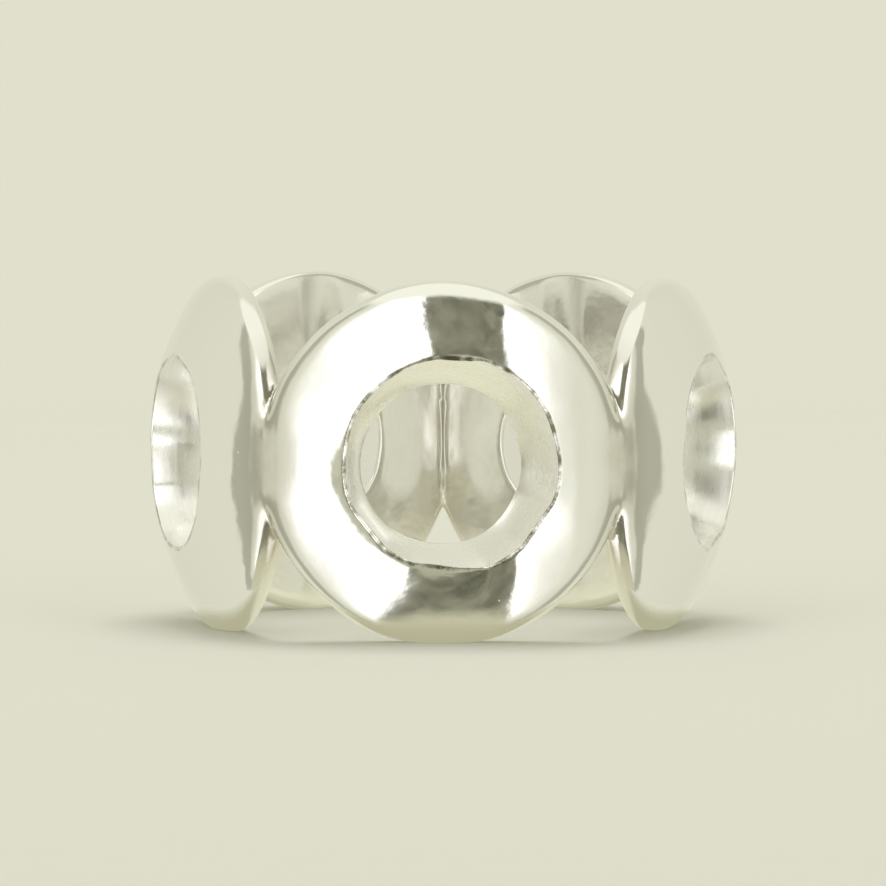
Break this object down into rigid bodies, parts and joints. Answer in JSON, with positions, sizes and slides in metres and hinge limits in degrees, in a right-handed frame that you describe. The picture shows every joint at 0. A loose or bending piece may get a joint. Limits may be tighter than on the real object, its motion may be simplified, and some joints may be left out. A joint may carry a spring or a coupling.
{
  "type": "finger ring of pierced discs",
  "caption": "Polished silver finger ring made of domed, pierced round discs soldered edge to edge in a loop, each with a flared hole. Worn on a finger; lies on its side by itself.",
  "frame": {"origin": "centre of the ring, on the finger axis at half its height", "axes": "+Z along the finger axis, up as the ring lies on its side; -Y is the way the front disc faces; +X to the right seen from the front"},
  "size_m": [0.0236, 0.0228, 0.0139],
  "materials": {
    "silver": "hand-polished silver, satin inside the holes"
  },
  "bodies": {
    "root": {"disc_ring": "silver"}
  },
  "joints": []
}
